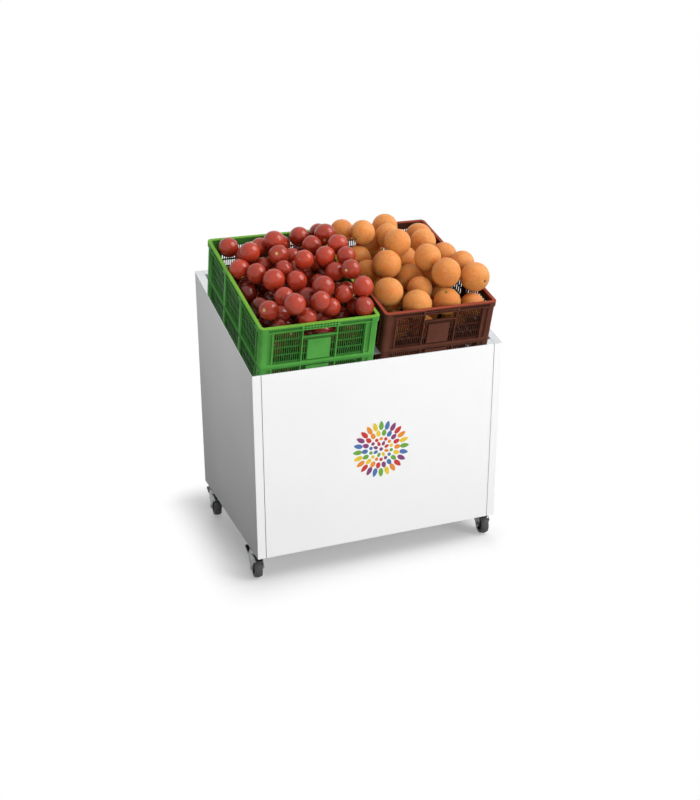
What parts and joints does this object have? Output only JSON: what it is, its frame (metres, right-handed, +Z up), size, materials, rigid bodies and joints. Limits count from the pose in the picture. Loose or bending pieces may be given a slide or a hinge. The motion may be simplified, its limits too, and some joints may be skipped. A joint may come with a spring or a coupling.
{
  "type": "produce display stand",
  "caption": "White cabinet on braked swivel castors whose sloping top shows loose fruit in perforated lift-off crates.",
  "frame": {"origin": "on the floor, under the middle of the cabinet", "axes": "+X to the right seen from the front, +Y to the back (the high side), +Z up"},
  "size_m": [0.8976, 0.6577, 1.0898],
  "materials": {
    "white_panel": "white gloss laminate on board",
    "base_board": "white laminate, plain",
    "grey_shelf": "grey laminate, satin",
    "polished_strip": "polished steel edging",
    "rail_wood": "planed softwood",
    "bracket_steel": "zinc plated",
    "screw_steel": "zinc plated",
    "green_plastic": "moulded, satin",
    "brown_plastic": "moulded, satin",
    "tomato_skin": "glossy skin",
    "orange_peel": "dimpled peel, satin",
    "castor_zinc": "zinc plated, bright",
    "axle_steel": "bright",
    "wheel_core": "moulded",
    "tyre_rubber": "matt",
    "pedal_plastic": "black, moulded"
  },
  "bodies": {
    "stand": {"left_side_panel": "white_panel", "right_side_panel": "white_panel", "front_panel": "white_panel", "back_panel": "white_panel", "left_edge_strip": "polished_strip", "left_shelf_rail": "rail_wood", "right_edge_strip": "polished_strip", "right_shelf_rail": "rail_wood", "front_edge_strip": "polished_strip", "front_shelf_rail": "rail_wood", "rear_edge_strip": "polished_strip", "rear_shelf_rail": "rail_wood", "base_panel": "base_board", "display_shelf": "grey_shelf", "corner_brackets": "bracket_steel", "bracket_screws": "screw_steel", "front_left_castor_stem": "castor_zinc", "front_right_castor_stem": "castor_zinc", "rear_left_castor_stem": "castor_zinc", "rear_right_castor_stem": "castor_zinc"},
    "green_crate": {"green_crate": "green_plastic", "tomatoes": "tomato_skin"},
    "brown_crate": {"brown_crate": "brown_plastic", "oranges": "orange_peel"},
    "front_left_castor": {"front_left_castor_swivel_cup": "castor_zinc", "front_left_castor_fork": "castor_zinc", "front_left_castor_axle": "axle_steel", "front_left_castor_brake_pin": "axle_steel"},
    "front_left_wheel": {"front_left_castor_wheel": "wheel_core", "front_left_castor_tyre": "tyre_rubber"},
    "front_left_brake": {"front_left_castor_brake_pedal": "pedal_plastic"},
    "front_right_castor": {"front_right_castor_swivel_cup": "castor_zinc", "front_right_castor_fork": "castor_zinc", "front_right_castor_axle": "axle_steel", "front_right_castor_brake_pin": "axle_steel"},
    "front_right_wheel": {"front_right_castor_wheel": "wheel_core", "front_right_castor_tyre": "tyre_rubber"},
    "front_right_brake": {"front_right_castor_brake_pedal": "pedal_plastic"},
    "rear_left_castor": {"rear_left_castor_swivel_cup": "castor_zinc", "rear_left_castor_fork": "castor_zinc", "rear_left_castor_axle": "axle_steel", "rear_left_castor_brake_pin": "axle_steel"},
    "rear_left_wheel": {"rear_left_castor_wheel": "wheel_core", "rear_left_castor_tyre": "tyre_rubber"},
    "rear_left_brake": {"rear_left_castor_brake_pedal": "pedal_plastic"},
    "rear_right_castor": {"rear_right_castor_swivel_cup": "castor_zinc", "rear_right_castor_fork": "castor_zinc", "rear_right_castor_axle": "axle_steel", "rear_right_castor_brake_pin": "axle_steel"},
    "rear_right_wheel": {"rear_right_castor_wheel": "wheel_core", "rear_right_castor_tyre": "tyre_rubber"},
    "rear_right_brake": {"rear_right_castor_brake_pedal": "pedal_plastic"}
  },
  "joints": [
    {"name": "green_crate_lift", "type": "slide", "parent": "stand", "child": "green_crate", "axis": [0, -0.2504, 0.9681], "range_m": [0, 0.3]},
    {"name": "brown_crate_lift", "type": "slide", "parent": "stand", "child": "brown_crate", "axis": [0, -0.2504, 0.9681], "range_m": [0, 0.3]},
    {"name": "front_left_swivel", "type": "hinge", "parent": "stand", "child": "front_left_castor", "pos_m": [-0.422, -0.24498, 0.08], "axis": [0, 0, 1], "continuous": true},
    {"name": "front_left_wheel_spin", "type": "hinge", "parent": "front_left_castor", "child": "front_left_wheel", "pos_m": [-0.42524, -0.27581, 0.035], "axis": [0.9945, -0.1045, 0], "continuous": true},
    {"name": "front_left_brake_press", "type": "hinge", "parent": "front_left_castor", "child": "front_left_brake", "pos_m": [-0.42106, -0.23603, 0.062], "axis": [0.9945, -0.1045, 0], "range_deg": [-15, 0]},
    {"name": "front_right_swivel", "type": "hinge", "parent": "stand", "child": "front_right_castor", "pos_m": [0.422, -0.24498, 0.08], "axis": [0, 0, 1], "continuous": true},
    {"name": "front_right_wheel_spin", "type": "hinge", "parent": "front_right_castor", "child": "front_right_wheel", "pos_m": [0.41876, -0.27581, 0.035], "axis": [0.9945, -0.1045, 0], "continuous": true},
    {"name": "front_right_brake_press", "type": "hinge", "parent": "front_right_castor", "child": "front_right_brake", "pos_m": [0.42294, -0.23603, 0.062], "axis": [0.9945, -0.1045, 0], "range_deg": [-15, 0]},
    {"name": "rear_left_swivel", "type": "hinge", "parent": "stand", "child": "rear_left_castor", "pos_m": [-0.422, 0.24498, 0.08], "axis": [0, 0, 1], "continuous": true},
    {"name": "rear_left_wheel_spin", "type": "hinge", "parent": "rear_left_castor", "child": "rear_left_wheel", "pos_m": [-0.42524, 0.21415, 0.035], "axis": [0.9945, -0.1045, 0], "continuous": true},
    {"name": "rear_left_brake_press", "type": "hinge", "parent": "rear_left_castor", "child": "rear_left_brake", "pos_m": [-0.42106, 0.25393, 0.062], "axis": [0.9945, -0.1045, 0], "range_deg": [-15, 0]},
    {"name": "rear_right_swivel", "type": "hinge", "parent": "stand", "child": "rear_right_castor", "pos_m": [0.422, 0.24498, 0.08], "axis": [0, 0, 1], "continuous": true},
    {"name": "rear_right_wheel_spin", "type": "hinge", "parent": "rear_right_castor", "child": "rear_right_wheel", "pos_m": [0.41876, 0.21415, 0.035], "axis": [0.9945, -0.1045, 0], "continuous": true},
    {"name": "rear_right_brake_press", "type": "hinge", "parent": "rear_right_castor", "child": "rear_right_brake", "pos_m": [0.42294, 0.25393, 0.062], "axis": [0.9945, -0.1045, 0], "range_deg": [-15, 0]}
  ]
}
